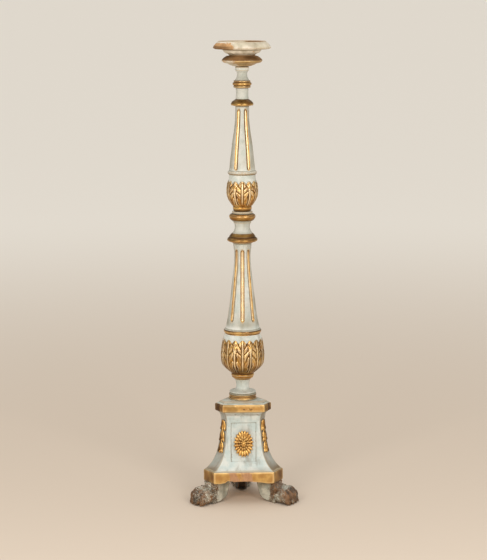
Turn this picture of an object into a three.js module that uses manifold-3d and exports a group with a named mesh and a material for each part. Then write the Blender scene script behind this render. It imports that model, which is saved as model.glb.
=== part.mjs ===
// A tall pricket candlestick in carved, painted and parcel-gilt wood: a turned shaft with fluted
// stems and leaf bulbs, under a drip pan, on a three-sided pedestal with lion-paw feet.
//
// Millimetres, +Z up. Heights are above the floor. A bearing is an angle about the shaft's axis in
// degrees: 0 is the front (-Y) and 90 is +X. The origin is the middle of the footprint on the floor.

import * as THREE from 'three';
import { mergeVertices } from 'three/addons/utils/BufferGeometryUtils.js';
import Module from 'manifold-3d';

const wasm = await Module();
wasm.setup();

// ---------------------------------------------------------------- driving dimensions

// Heights where one piece rests on the next.
const SLAB_UNDERSIDE = 54;
const PEDESTAL_FOOT = 85;
const CAP_UNDERSIDE = 240;
const SHAFT_FOOT = 267;
const SHAFT_JOINT = 762;
const SAUCER_UNDERSIDE = 1134;
const PAN_UNDERSIDE = 1163;
const PAN_RIM = 1201;

// The base is a triangle with its corners cut off: a long side, then a short canted side, in turn.
const SIDES = [0, 120, 240];
const CORNERS = { right: 60, back: 180, left: 300 };
const SLAB = { long: 156.5, short: 51.5, round: 2.5 };
const CAP = { long: 109, short: 38 };
const SLAB_ARCH = { halfSpan: 62, rise: 6.5 };

// The pedestal's outline from its flared foot to the small cove under the cap.
const PEDESTAL = [
  { z: 85, long: 155, short: 47.5 },
  { z: 90, long: 144, short: 45 },
  { z: 101, long: 127, short: 41 },
  { z: 114, long: 114, short: 37.5 },
  { z: 128, long: 104, short: 35 },
  { z: 145, long: 97.5, short: 33 },
  { z: 170, long: 93, short: 31 },
  { z: 222, long: 89.6, short: 26.5 },
  { z: 233, long: 94, short: 28.5 },
  { z: 240, long: 104, short: 34 },
];
const PANEL = { halfWidth: 34, bottom: 109, top: 210, depth: 2 };
const ROSETTE = { halfWidth: 26, halfHeight: 35, centre: 155.5, petals: 16, relief: 7 };
const HUSKS = { bottom: 130, pitch: 29, count: 3, halfWidth: 13, neck: 5.5, relief: 7 };

// The cap's outline: a moulded edge, a hipped top and a low step, drawn in from the full plan.
const CAP_OUTLINE = [
  { z: CAP_UNDERSIDE, inset: 2 },
  { z: 242, inset: 0 },
  { z: 258, inset: 0 },
  { z: 260, inset: 2 },
  { z: 263.5, inset: 9 },
  { z: 265, inset: 9.5 },
  { z: SHAFT_FOOT, inset: 14.5 },
];

// One husk from its lower lip up: height, and width and lift as shares of the whole.
const HUSK_OUTLINE = [
  { rise: 0, width: 0.72, lift: 0.6 },
  { rise: 4, width: 1, lift: 1 },
  { rise: 15, width: 0.72, lift: 0.9 },
  { rise: HUSKS.pitch - 0.5, width: 0, lift: 0.5 },
];

// The shaft stands a little turned on its base, so its front leaf faces this bearing.
const SHAFT_BEARING = -2.5;
const FLUTE = { halfWidth: 5, depth: 3.2 };
const LOWER_FLUTES = { count: 8, first: 0, bottom: 476, top: 663 };
const UPPER_FLUTES = { count: 6, first: 30, bottom: 872, top: 1027 };

// Gap between a carved piece and the curved surface it is fixed to.
const GLUE_GAP = 0.3;

const FACETS = 20;
const CURVE_STEPS = 2;

// ---------------------------------------------------------------- geometry helpers

const radians = THREE.MathUtils.degToRad;

// A point at a distance out along a bearing and across it, at a height.
function place(bearing, out, across, z) {
  const angle = radians(bearing);
  return new THREE.Vector3(
    out * Math.sin(angle) + across * Math.cos(angle),
    across * Math.sin(angle) - out * Math.cos(angle),
    z,
  );
}

// The value of a key at height z in a list of levels, straight between one level and the next.
function between(levels, key, z) {
  const above = Math.max(1, levels.findIndex((level) => level.z >= z));
  const low = levels[above - 1];
  const high = levels[above];
  return THREE.MathUtils.mapLinear(z, low.z, high.z, low[key], high[key]);
}

// A closed skin over rings of points that turn anticlockwise about the way they follow each other.
function loft(rings) {
  const size = rings[0].length;
  const points = rings.flat();
  for (const end of [rings[0], rings.at(-1)]) {
    const middle = new THREE.Vector3();
    end.forEach((point) => middle.addScaledVector(point, 1 / size));
    points.push(middle);
  }
  const [startMiddle, endMiddle] = [points.length - 2, points.length - 1];
  const index = [];
  for (let j = 0; j < size; j += 1) {
    const k = (j + 1) % size;
    for (let i = 0; i < rings.length - 1; i += 1) {
      const [a, b] = [i * size + j, i * size + k];
      index.push(a, b, b + size, a, b + size, a + size);
    }
    const last = (rings.length - 1) * size;
    index.push(startMiddle, k, j, endMiddle, last + j, last + k);
  }
  return new THREE.BufferGeometry().setFromPoints(points).setIndex(index);
}

// Turns an outline drawn as (radius, height) about the shaft's axis.
function turned(outline) {
  const geometry = new THREE.LatheGeometry(outline.getPoints(CURVE_STEPS), FACETS);
  return geometry.rotateX(Math.PI / 2);
}

// A half-round moulding on an outline, from one height up to another.
function bead(outline, radius, crest, low, high) {
  const middle = (low + high) / 2;
  outline.absellipse(radius, middle, crest - radius, high - middle, -Math.PI / 2, Math.PI / 2, false, 0);
}

// A geometry as a solid for cutting and joining: shared corners, and no flattened triangles.
function solid(geometry) {
  const bare = geometry.clone();
  bare.deleteAttribute('normal');
  bare.deleteAttribute('uv');
  const merged = mergeVertices(bare, 1e-4);
  const corners = merged.index.array;
  const kept = [];
  for (let i = 0; i < corners.length; i += 3) {
    const [a, b, c] = corners.slice(i, i + 3);
    if (a !== b && b !== c && c !== a) kept.push(a, b, c);
  }
  return new wasm.Manifold(new wasm.Mesh({
    numProp: 3,
    vertProperties: new Float32Array(merged.attributes.position.array),
    triVerts: new Uint32Array(kept),
  }));
}

function geometryOf(manifold) {
  const mesh = manifold.getMesh();
  const geometry = new THREE.BufferGeometry();
  geometry.setAttribute('position', new THREE.BufferAttribute(mesh.vertProperties, mesh.numProp));
  return geometry.setIndex(new THREE.BufferAttribute(mesh.triVerts, 1));
}

// ---------------------------------------------------------------- pan and saucer

function dripPan() {
  const outline = new THREE.Path();
  outline.moveTo(0, PAN_UNDERSIDE);
  outline.lineTo(32.7, PAN_UNDERSIDE);
  outline.quadraticCurveTo(36, 1168, 43.4, 1169.4);
  outline.quadraticCurveTo(47.5, 1172, 50, 1178);
  outline.lineTo(64, 1179.5);
  outline.quadraticCurveTo(73.8, 1180, 75.2, 1184);
  outline.quadraticCurveTo(73.8, 1190, 61.5, PAN_RIM);
  outline.lineTo(57, PAN_RIM - 1);
  outline.quadraticCurveTo(54.5, 1190, 47, 1189);
  outline.lineTo(0, 1189);
  return turned(outline);
}

function saucer() {
  const outline = new THREE.Path();
  outline.moveTo(0, SAUCER_UNDERSIDE);
  outline.lineTo(18.4, SAUCER_UNDERSIDE);
  outline.quadraticCurveTo(28, 1137, 37, 1142.6);
  outline.quadraticCurveTo(50.5, 1144.5, 52.8, 1150);
  outline.quadraticCurveTo(52, 1155, 40.4, PAN_UNDERSIDE - 1.2);
  outline.lineTo(35, PAN_UNDERSIDE);
  outline.lineTo(0, PAN_UNDERSIDE);
  return turned(outline);
}

// ---------------------------------------------------------------- shaft

const UPPER_STEM = [
  { z: 867.5, radius: 34.6 },
  { z: 895, radius: 31.5 },
  { z: 934, radius: 27.1 },
  { z: 972, radius: 21.9 },
  { z: 998, radius: 18.8 },
  { z: 1020, radius: 18.7 },
  { z: 1034, radius: 17.2 },
];
const LOWER_STEM = [
  { z: 454.5, radius: 44.9 },
  { z: 476, radius: 40.5 },
  { z: 529, radius: 33.3 },
  { z: 582, radius: 27.1 },
  { z: 610, radius: 23.6 },
  { z: 645, radius: 21.7 },
  { z: 679, radius: 24.1 },
];

// Outlines of the leaf bulbs over the leaves, from the collar up to the leaf tips.
const UPPER_BULB = {
  leaves: 6,
  relief: 3.4,
  blade: [1, 1, 0.1, 0.8, 0.1, 1],
  tipDrop: [0, 3, 9, 1, 9, 3],
  outline: [
    { z: 775, radius: 23 },
    { z: 783, radius: 29.8 },
    { z: 791, radius: 35.6 },
    { z: 799, radius: 39.5 },
    { z: 814, radius: 42.3 },
    { z: 830, radius: 40.6 },
    { z: 843, radius: 37.9 },
  ],
  band: [
    { z: 844, radius: 35 },
    { z: 859.5, radius: 34 },
  ],
};
const LOWER_BULB = {
  leaves: 8,
  relief: 3.6,
  blade: [1, 0.85, 0, 0.8, 0, 0.85],
  tipDrop: [0, 2, 9, 0, 9, 2],
  outline: [
    { z: 336, radius: 29 },
    { z: 343, radius: 37.8 },
    { z: 349, radius: 45.5 },
    { z: 357, radius: 52.4 },
    { z: 378, radius: 57.4 },
    { z: 400, radius: 56.4 },
    { z: 430, radius: 51.6 },
  ],
  band: [
    { z: 431, radius: 50.4 },
    { z: 445, radius: 46 },
  ],
};

// A bulb wrapped in upright leaves with narrow ribs between them, carved down to a plain band.
function leafBulb({ leaves, relief, blade, tipDrop, outline, band }) {
  const [foot, tip] = [outline[0].z, outline.at(-1).z];
  const steps = blade.length;
  const ring = (heightAt, radiusAt) => Array.from({ length: leaves * steps }, (_, j) => (
    place((j * 360) / (leaves * steps), radiusAt(j % steps), 0, heightAt(j % steps))
  ));
  const leafRings = outline.map(({ z, radius }, level) => {
    const carved = relief * Math.min(1, level / 2);
    return ring(
      (j) => foot + ((z - foot) * (tip - tipDrop[j] - foot)) / (tip - foot),
      (j) => radius - carved * (1 - blade[j]),
    );
  });
  const ledge = ring((j) => band[0].z - tipDrop[j], () => band[0].radius);
  const top = ring(() => band[1].z, () => band[1].radius);
  return loft([...leafRings, ledge, top]);
}

// A round-ended groove cut up a stem: a capsule bent to follow the stem's taper.
function fluteCutter(stem, { bottom, top }, bearing) {
  const radius = (FLUTE.halfWidth ** 2 + FLUTE.depth ** 2) / (2 * FLUTE.depth);
  const straight = top - bottom - 2 * radius;
  const capsule = new THREE.CapsuleGeometry(radius, straight, 2, 6, 3);
  const points = capsule.attributes.position;
  const point = new THREE.Vector3();
  for (let i = 0; i < points.count; i += 1) {
    point.fromBufferAttribute(points, i);
    const z = point.y + (bottom + top) / 2;
    const out = between(stem, 'radius', z) + radius - FLUTE.depth - point.z;
    const { x, y } = place(bearing, out, -point.x, 0);
    points.setXYZ(i, x, y, z);
  }
  return solid(capsule);
}

function shaftPiece(outline, bulb, stem, flutes) {
  let body = solid(turned(outline)).add(solid(leafBulb(bulb)));
  for (let i = 0; i < flutes.count; i += 1) {
    body = body.subtract(fluteCutter(stem, flutes, flutes.first + (i * 360) / flutes.count));
  }
  return geometryOf(body);
}

function lowerShaft() {
  const outline = new THREE.Path();
  outline.moveTo(0, SHAFT_FOOT);
  outline.lineTo(35.5, SHAFT_FOOT);
  outline.lineTo(37.6, 269.3);
  outline.lineTo(34.8, 274);
  bead(outline, 30, 36.2, 275, 289.4);
  outline.quadraticCurveTo(18, 290.5, 17.2, 299);
  outline.quadraticCurveTo(16.4, 320, 27.6, 324.8);
  outline.lineTo(30.2, 331);
  outline.lineTo(28.6, 338);
  outline.lineTo(40, 352);
  outline.lineTo(40, 444);
  bead(outline, 45.2, 49.6, 444, 454.5);
  LOWER_STEM.forEach(({ z, radius }) => outline.lineTo(radius, z));
  outline.lineTo(32, 683);
  outline.quadraticCurveTo(43.5, 685, 38.6, 692);
  outline.lineTo(30.5, 703);
  outline.lineTo(24.9, 707.5);
  outline.quadraticCurveTo(16.5, 719, 21.5, 731);
  outline.lineTo(23.5, 733.5);
  outline.lineTo(23, 736);
  outline.quadraticCurveTo(33.5, 740, 34.6, 749.5);
  outline.quadraticCurveTo(34, 755, 27.4, 757);
  outline.lineTo(27, SHAFT_JOINT);
  outline.lineTo(0, SHAFT_JOINT);
  return shaftPiece(outline, LOWER_BULB, LOWER_STEM, LOWER_FLUTES);
}

function upperShaft() {
  const outline = new THREE.Path();
  outline.moveTo(0, SHAFT_JOINT);
  outline.lineTo(21.5, SHAFT_JOINT);
  outline.quadraticCurveTo(25.8, 768, 24, 777);
  outline.lineTo(28, 790);
  outline.lineTo(28, 858.5);
  bead(outline, 34.4, 37.9, 858.5, 867.5);
  UPPER_STEM.forEach(({ z, radius }) => outline.lineTo(radius, z));
  outline.lineTo(28, 1036);
  outline.quadraticCurveTo(32, 1040, 24.4, 1047);
  outline.lineTo(17, 1052);
  outline.lineTo(15.9, 1066);
  outline.lineTo(16.7, 1080.2);
  bead(outline, 17.5, 25, 1080.2, 1099.5);
  outline.lineTo(17.9, 1101);
  outline.quadraticCurveTo(11, 1112, 14.1, 1121);
  outline.lineTo(18, 1126);
  outline.lineTo(18.2, SAUCER_UNDERSIDE);
  outline.lineTo(0, SAUCER_UNDERSIDE);
  return shaftPiece(outline, UPPER_BULB, UPPER_STEM, UPPER_FLUTES);
}

// ---------------------------------------------------------------- three-sided base

// Distance from the axis to a long side, or to a canted corner, of a plan.
const sideOut = ({ long, short }) => (long + 2 * short) / (2 * Math.sqrt(3));
const cornerOut = (plan) => 2 * sideOut(plan) - (plan.short * Math.sqrt(3)) / 2;

// The six points of a plan at a height, drawn in by an inset all round.
function planRing(plan, z, inset = 0) {
  const trim = (2 * inset) / Math.sqrt(3);
  const drawnIn = { long: plan.long - trim, short: plan.short - trim };
  return SIDES.flatMap((bearing) => [-1, 1].map((end) => (
    place(bearing, sideOut(drawnIn), (end * drawnIn.long) / 2, z)
  )));
}

function pedestalPlan(z) {
  return { long: between(PEDESTAL, 'long', z), short: between(PEDESTAL, 'short', z) };
}

function capSlab() {
  return loft(CAP_OUTLINE.map(({ z, inset }) => planRing(CAP, z, inset)));
}

// A sunk panel: a rectangle seen from in front, whose floor follows the pedestal's curve.
function panelCutter(bearing) {
  const levels = PEDESTAL.map(({ z }) => z).filter((z) => z > PANEL.bottom && z < PANEL.top);
  return solid(loft([PANEL.bottom, ...levels, PANEL.top].map((z) => {
    const floor = sideOut(pedestalPlan(z)) - PANEL.depth;
    const clear = floor + 40;
    return [
      place(bearing, clear, -PANEL.halfWidth, z),
      place(bearing, clear, PANEL.halfWidth, z),
      place(bearing, floor, PANEL.halfWidth, z),
      place(bearing, floor, -PANEL.halfWidth, z),
    ];
  })));
}

function pedestal() {
  let body = solid(loft(PEDESTAL.map((level) => planRing(level, level.z))));
  for (const bearing of SIDES) body = body.subtract(panelCutter(bearing));
  return geometryOf(body);
}

// The slab over the feet, its underside arched along each side.
function footSlab() {
  let body = solid(loft([
    planRing(SLAB, SLAB_UNDERSIDE, SLAB.round),
    planRing(SLAB, SLAB_UNDERSIDE + SLAB.round),
    planRing(SLAB, PEDESTAL_FOOT - SLAB.round),
    planRing(SLAB, PEDESTAL_FOOT, SLAB.round),
  ]));
  const arch = new THREE.Shape();
  arch.moveTo(-SLAB_ARCH.halfSpan, -10);
  arch.lineTo(SLAB_ARCH.halfSpan, -10);
  arch.lineTo(SLAB_ARCH.halfSpan, 0);
  arch.quadraticCurveTo(0, 2 * SLAB_ARCH.rise, -SLAB_ARCH.halfSpan, 0);
  const cut = new THREE.ExtrudeGeometry(arch, { depth: 60, bevelEnabled: false, curveSegments: 6 });
  cut.rotateX(Math.PI / 2).translate(0, -30, SLAB_UNDERSIDE);
  for (const bearing of SIDES) {
    body = body.subtract(solid(cut.clone().rotateZ(radians(bearing))));
  }
  return geometryOf(body);
}

// ---------------------------------------------------------------- applied carving

// An oval rosette on the front panel: a ring of petals round a ring of small ones and a boss.
function rosette() {
  const { halfWidth, halfHeight, centre, petals, relief } = ROSETTE;
  const steps = petals * 2;
  const ring = (size, lift, scallop, dip) => Array.from({ length: steps }, (_, j) => {
    const angle = (j * 2 * Math.PI) / steps;
    const inPetal = j % 2 === 0;
    const reach = size * (inPetal ? 1 : 1 - scallop);
    const z = centre + halfHeight * reach * Math.sin(angle);
    const floor = sideOut(pedestalPlan(z)) - PANEL.depth + GLUE_GAP;
    return place(0, floor + lift - (inPetal ? 0 : dip), halfWidth * reach * Math.cos(angle), z);
  });
  return loft([
    ring(1, 0, 0.05, 0),
    ring(0.97, relief * 0.6, 0.06, 1.2),
    ring(0.68, relief, 0.02, 2.2),
    ring(0.45, relief * 0.5, 0, 0.3),
    ring(0.25, relief * 0.9, 0, 0),
    ring(0.12, relief, 0, 0),
  ]);
}

// A drop of overlapping husks down a canted corner, each flaring to its lower lip.
function huskDrop() {
  const { bottom, pitch, count, halfWidth, neck, relief } = HUSKS;
  const rings = [];
  for (let i = 0; i < count; i += 1) {
    const lip = bottom + i * pitch;
    for (const { rise, width, lift } of HUSK_OUTLINE) {
      const z = lip + rise;
      const half = neck + (halfWidth - neck) * width;
      const back = cornerOut(pedestalPlan(z)) + GLUE_GAP;
      const front = back + relief * lift;
      const shoulder = back + relief * lift * 0.55;
      rings.push([
        place(CORNERS.right, back, -half, z),
        place(CORNERS.right, shoulder, -half * 0.85, z),
        place(CORNERS.right, front, -half * 0.3, z),
        place(CORNERS.right, front, half * 0.3, z),
        place(CORNERS.right, shoulder, half * 0.85, z),
        place(CORNERS.right, back, half, z),
      ]);
    }
  }
  return loft(rings);
}

// ---------------------------------------------------------------- lion-paw feet

// Sections out from the axis: half width, underside, top and how deep the toes are parted.
const PAW_SECTIONS = [
  { out: 45, half: 8, under: 46, top: SLAB_UNDERSIDE, parting: 0 },
  { out: 52, half: 9.5, under: 20, top: SLAB_UNDERSIDE, parting: 0 },
  { out: 61, half: 11, under: 8, top: SLAB_UNDERSIDE, parting: 0 },
  { out: 92, half: 17, under: 0, top: SLAB_UNDERSIDE, parting: 0 },
  { out: 106, half: 25, under: 0, top: 53, parting: 0 },
  { out: 120, half: 31, under: 0, top: 49, parting: 0.05 },
  { out: 136, half: 33.5, under: 0, top: 42, parting: 0.14 },
  { out: 149, half: 30, under: 0, top: 33, parting: 0.3 },
  { out: 154, half: 24, under: 4, top: 20, parting: 0.3 },
];
const TOES = 4;

// A paw with its ankle and the bracket behind it, carved from one block, pointing out at the right.
function pawFoot() {
  return loft(PAW_SECTIONS.map(({ out, half, under, top, parting }) => {
    const tall = top - under;
    const section = [[-half, under], [half, under], [half, under + tall * 0.5]];
    for (let i = 0; i <= TOES * 2; i += 1) {
      const across = half * 0.96 * (1 - i / TOES);
      const edge = i === 0 || i === TOES * 2;
      const drop = edge ? 0.22 : parting * (1 - (i % 2));
      section.push([across, top - tall * drop]);
    }
    section.push([-half, under + tall * 0.5]);
    return section.map(([across, z]) => place(CORNERS.right, out, across, z));
  }));
}

// ---------------------------------------------------------------- finishes

const finish = (color, roughness, metalness = 0) => (
  new THREE.MeshStandardMaterial({ color, roughness, metalness })
);
const paint = finish('#cdd2c8', 0.6);
const gilt = finish('#c28f4e', 0.42, 0.6);
const bareWood = finish('#b39a83', 0.75);
const darkWood = finish('#5f4a37', 0.65);

// ---------------------------------------------------------------- assembly

function piece(name, geometry, material, bearing = 0) {
  const mesh = new THREE.Mesh(geometry, material);
  mesh.name = name;
  mesh.rotation.z = radians(bearing);
  return mesh;
}

const base = new THREE.Group();
base.add(piece('foot_slab', footSlab(), gilt));
base.add(piece('pedestal', pedestal(), paint));
base.add(piece('cap_slab', capSlab(), paint));

const sideNames = ['front', 'right', 'left'];
const rosetteShape = rosette();
SIDES.forEach((bearing, i) => base.add(piece(`rosette_${sideNames[i]}`, rosetteShape, gilt, bearing)));

const huskShape = huskDrop();
const pawShape = pawFoot();
for (const [name, bearing] of Object.entries(CORNERS)) {
  const turn = bearing - CORNERS.right;
  base.add(piece(`husk_drop_${name}`, huskShape, gilt, turn));
  base.add(piece(`paw_foot_${name}`, pawShape, darkWood, turn));
}

const shaft = new THREE.Group();
shaft.rotation.z = radians(SHAFT_BEARING);
shaft.add(piece('lower_shaft', lowerShaft(), paint));
shaft.add(piece('upper_shaft', upperShaft(), paint));
shaft.add(piece('saucer', saucer(), bareWood));
shaft.add(piece('drip_pan', dripPan(), bareWood));

const candlestick = new THREE.Group();
candlestick.name = 'pricket_candlestick';
candlestick.add(base, shaft);

// Puts the middle of the footprint over the origin.
const extent = new THREE.Box3().setFromObject(candlestick, true);
const middle = extent.getCenter(new THREE.Vector3());
candlestick.position.set(-middle.x, -middle.y, 0);

export default candlestick;
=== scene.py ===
import math

import bmesh
import bpy
import numpy as np
from mathutils import Matrix, Vector


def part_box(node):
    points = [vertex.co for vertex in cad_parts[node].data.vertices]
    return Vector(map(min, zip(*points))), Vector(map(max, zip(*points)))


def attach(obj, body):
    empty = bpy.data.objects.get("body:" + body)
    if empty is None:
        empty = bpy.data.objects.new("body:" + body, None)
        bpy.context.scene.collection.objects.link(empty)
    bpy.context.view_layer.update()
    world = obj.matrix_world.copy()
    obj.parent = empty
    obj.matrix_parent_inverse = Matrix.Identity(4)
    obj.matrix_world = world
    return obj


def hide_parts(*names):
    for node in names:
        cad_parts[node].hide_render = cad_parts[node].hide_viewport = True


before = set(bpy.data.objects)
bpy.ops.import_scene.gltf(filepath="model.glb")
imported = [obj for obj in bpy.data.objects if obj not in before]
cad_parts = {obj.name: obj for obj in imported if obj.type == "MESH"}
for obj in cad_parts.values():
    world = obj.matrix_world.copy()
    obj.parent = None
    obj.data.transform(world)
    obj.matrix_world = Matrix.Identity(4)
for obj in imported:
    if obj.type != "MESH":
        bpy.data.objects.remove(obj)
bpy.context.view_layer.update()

# ---------------------------------------------------------------- paw feet
# Three lion paws in dark stained wood, each cut from one block with its ankle and the bracket
# behind it. The front brackets were painted with the base, the back one is left bare and
# darkened; a paw keeps only scraps of paint.

MM = 0.001
pan_low, pan_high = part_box("drip_pan")
SHAFT_AXIS = Vector(((pan_low.x + pan_high.x) / 2, (pan_low.y + pan_high.y) / 2, 0))
CORNERS = {"right": 60, "back": 180, "left": 300}
SIDES = {"front": 0, "right": 120, "left": 240}

foot_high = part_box("paw_foot_back")[1]
FOOT_TOP = foot_high.z / MM
TOE_REACH = (foot_high.y - SHAFT_AXIS.y) / MM
FOOT_HALF = 33.5
FOOT_VOXEL = 1.25
BRACKET = ((45, 46), (49, 32), (54, 17), (61, 8), (75, 3.5), (92, 0), (106, 0))
TOES = ((-24, 146.0), (-8.2, 151.5), (8.2, 151.5), (24, 146.0))
HAIR_ROWS = ((101, 50, 5), (110, 46, 6), (119, 41, 5))
SIDE_LOCKS = ((91, 38), (97, 27), (101, 16), (107, 37), (112, 26), (117, 14))
TURNED_OUT = 3.4


def turned_to(bearing):
    """Turns a piece made facing the front so that it faces a bearing, counted towards +X."""
    return Matrix.Rotation(math.radians(bearing), 4, "Z")


def lump(bm, centre, radii, tilt=0.0, swing=0.0, lean=0.0, grain=(20, 12)):
    """Adds an egg of wood: tilted nose down, swung sideways or leaned over, in degrees."""
    turn = (
        Matrix.Rotation(math.radians(swing), 4, "Z")
        @ Matrix.Rotation(math.radians(tilt), 4, "X")
        @ Matrix.Rotation(math.radians(lean), 4, "Y")
    )
    matrix = Matrix.Translation(centre) @ turn @ Matrix.Diagonal((*radii, 1))
    across, along = grain
    bmesh.ops.create_uvsphere(bm, u_segments=across, v_segments=along, radius=1, matrix=matrix)


def board(bm, sections, width_of):
    """Adds a plank through (out, low, high) sections, each as wide as width_of says."""
    rings = []
    for out, low, high in sections:
        half = width_of(out)
        corners = ((-half, low), (half, low), (half, high), (-half, high))
        rings.append([bm.verts.new((across, -out, z)) for across, z in corners])
    for near, far in zip(rings, rings[1:]):
        for i in range(4):
            k = (i + 1) % 4
            bm.faces.new((near[i], near[k], far[k], far[i]))
    bm.faces.new(rings[0])
    bm.faces.new(rings[-1])


def to_mesh(bm, name):
    mesh = bpy.data.meshes.new(name)
    bm.to_mesh(mesh)
    bm.free()
    return mesh


def add_object(name, data):
    added = bpy.data.objects.new(name, data)
    bpy.context.scene.collection.objects.link(added)
    return added


def run_together(bm, voxel, soften):
    """Makes overlapping lumps one carved skin, and softens it as a worn carving is."""
    bmesh.ops.recalc_face_normals(bm, faces=bm.faces)
    rough = add_object("rough", to_mesh(bm, "rough"))
    skin = rough.modifiers.new("skin", "REMESH")
    skin.mode = "VOXEL"
    skin.voxel_size = voxel
    worn = rough.modifiers.new("worn", "SMOOTH")
    worn.factor = 0.5
    worn.iterations = soften
    ready = rough.evaluated_get(bpy.context.evaluated_depsgraph_get())
    carved = bpy.data.meshes.new_from_object(ready)
    bpy.data.objects.remove(rough)
    return carved


def points_of(mesh):
    values = np.empty(len(mesh.vertices) * 3, np.float32)
    mesh.vertices.foreach_get("co", values)
    return values.reshape(-1, 3).astype(float)


def move_points(mesh, points):
    mesh.vertices.foreach_set("co", points.astype(np.float32).ravel())
    mesh.update()


def mark(mesh, **masks):
    """Stores masks on the mesh for its material to read: gilt, paint, soil_and_shade (dirt, and painted
    shade in some places) and relief.
    """
    for name, values in masks.items():
        layer = mesh.attributes.new(name, "FLOAT", "POINT")
        full = np.full(len(mesh.vertices), np.clip(values, -1, 1), np.float32)
        layer.data.foreach_set("value", full)


def waver(points, size, seed):
    """A smooth random field from -1 to 1 with features of about that size, in millimetres."""
    pick = np.random.default_rng(seed)
    total = np.zeros(len(points))
    for _ in range(14):
        direction = pick.normal(size=3)
        direction *= 2 * math.pi / (size * pick.uniform(1.4, 3.2) * np.linalg.norm(direction))
        total += np.sin(points @ direction + pick.uniform(0, 2 * math.pi))
    return np.clip(total / 5, -1, 1)


def step_up(low, high, values):
    t = np.clip((values - low) / (high - low), 0, 1)
    return t * t * (3 - 2 * t)


def mark_relief(mesh, reach, depth, painted_highlight=0.0):
    """Stores how far each point stands above (1) or below (-1) the carving round it.

    A place given a painted highlight counts as standing out, so gilding there is painted bright.
    """
    points = points_of(mesh)
    normals = np.empty(len(points) * 3, np.float32)
    mesh.vertices.foreach_get("normal", normals)
    ends = np.empty(len(mesh.edges) * 2, np.int32)
    mesh.edges.foreach_get("vertices", ends)
    one, other = ends.reshape(-1, 2).T
    count = len(points)
    meeting = np.bincount(one, minlength=count) + np.bincount(other, minlength=count)
    level = points.copy()
    for _ in range(reach):
        for axis in range(3):
            column = level[:, axis]
            pulled = np.bincount(one, column[other], count) + np.bincount(other, column[one], count)
            level[:, axis] = 0.5 * column + 0.5 * pulled / np.maximum(meeting, 1)
    lift = ((points - level) * normals.reshape(-1, 3)).sum(axis=1) / depth
    mark(mesh, relief=lift + (0.9 - lift) * painted_highlight)


def finish_piece(mesh, name, bearing, material, node):
    """Puts a mesh made in millimetres about the shaft's axis in its place in the frame."""
    mesh.transform(Matrix.Translation(SHAFT_AXIS) @ Matrix.Scale(MM, 4) @ turned_to(bearing))
    mesh.shade_smooth()
    mesh.materials.append(material)
    piece = add_object(name, mesh)
    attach(piece, "root")
    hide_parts(node)


class Net:
    """Adds shader nodes to one tree. A colour is given as three values up to 255."""

    def __init__(self, tree):
        self.tree = tree

    def feed(self, socket, source):
        """Joins a source to a socket, or sets the socket's plain value."""
        if isinstance(source, bpy.types.NodeSocket):
            self.tree.links.new(source, socket)
        else:
            socket.default_value = rgb(*source) if socket.type == "RGBA" else source

    def add(self, kind, sources, **settings):
        """Adds a node with its settings and its sources, and gives its outputs."""
        node = self.tree.nodes.new(f"ShaderNode{kind}")
        for setting, value in settings.items():
            setattr(node, setting, value)
        for socket, source in sources.items():
            self.feed(node.inputs[socket], source)
        return node.outputs

    def math(self, operation, first, second):
        return self.add("Math", {0: first, 1: second}, operation=operation)[0]

    def times(self, first, second):
        return self.math("MULTIPLY", first, second)

    def mix(self, factor, first, second):
        return self.add("Mix", {0: factor, 6: first, 7: second}, data_type="RGBA")[2]

    def ramp(self, value, low, high, start=0.0, end=1.0):
        """A smooth step from start to end as the value goes from low to high."""
        sources = dict(enumerate((value, low, high, start, end)))
        return self.add("MapRange", sources, interpolation_type="SMOOTHSTEP")[0]

    def noise(self, size_mm, detail=3.0, stretch=(1, 1, 1), rough=0.55):
        """Noise on the piece's own coordinates with features of about that size."""
        place = self.add("TexCoord", {})["Object"]
        place = self.add("Mapping", {"Vector": place, "Scale": stretch})[0]
        scale = 1 / (size_mm * MM)
        sources = {"Vector": place, "Scale": scale, "Detail": detail, "Roughness": rough}
        return self.add("TexNoise", sources)["Fac"]

    def mark(self, name):
        return self.add("Attribute", {}, attribute_name=name)["Fac"]


def rgb(red, green, blue):
    """A colour given as three values up to 255, made linear for the shaders."""
    def linear(value):
        value /= 255
        return value / 12.92 if value <= 0.04045 else ((value + 0.055) / 1.055) ** 2.4
    return (linear(red), linear(green), linear(blue), 1.0)


def effect(name, inputs, outputs=("Color", "Roughness", "Height")):
    """An empty node group with named sockets, which all take the relief and the soil_and_shade mark:
    dirt, and painted shade in some places.
    """
    tree = bpy.data.node_groups.new(name, "ShaderNodeTree")
    for label, value in {"Relief": 0.0, "Soil_and_Shade": 0.0, **inputs}.items():
        coloured = isinstance(value, tuple)
        kind = "NodeSocketColor" if coloured else "NodeSocketFloat"
        socket = tree.interface.new_socket(label, in_out="INPUT", socket_type=kind)
        socket.default_value = rgb(*value) if coloured else value
    for label in outputs:
        kind = "NodeSocketColor" if label == "Color" else "NodeSocketFloat"
        tree.interface.new_socket(label, in_out="OUTPUT", socket_type=kind)
    given = tree.nodes.new("NodeGroupInput").outputs
    return Net(tree), given, tree.nodes.new("NodeGroupOutput").inputs


# Bare or stained timber: long grain, pores, dirt in the hollows, rubbed light on the ridges.
timber, given, result = effect(
    "timber", {"Light": (150, 110, 75), "Dark": (80, 55, 38), "Grime_and_Shade": (34, 22, 14)}
)
grain = timber.noise(3.5, 6.0, (1, 1, 0.12), 0.7)
blotch = timber.noise(38, 2.0)
tone = timber.math("ADD", timber.times(grain, 0.6), timber.times(blotch, 0.4))
wood = timber.mix(timber.ramp(tone, 0.36, 0.64), given["Dark"], given["Light"])
soiled = timber.times(timber.ramp(given["Relief"], -0.05, -0.7), 0.75)
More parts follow.
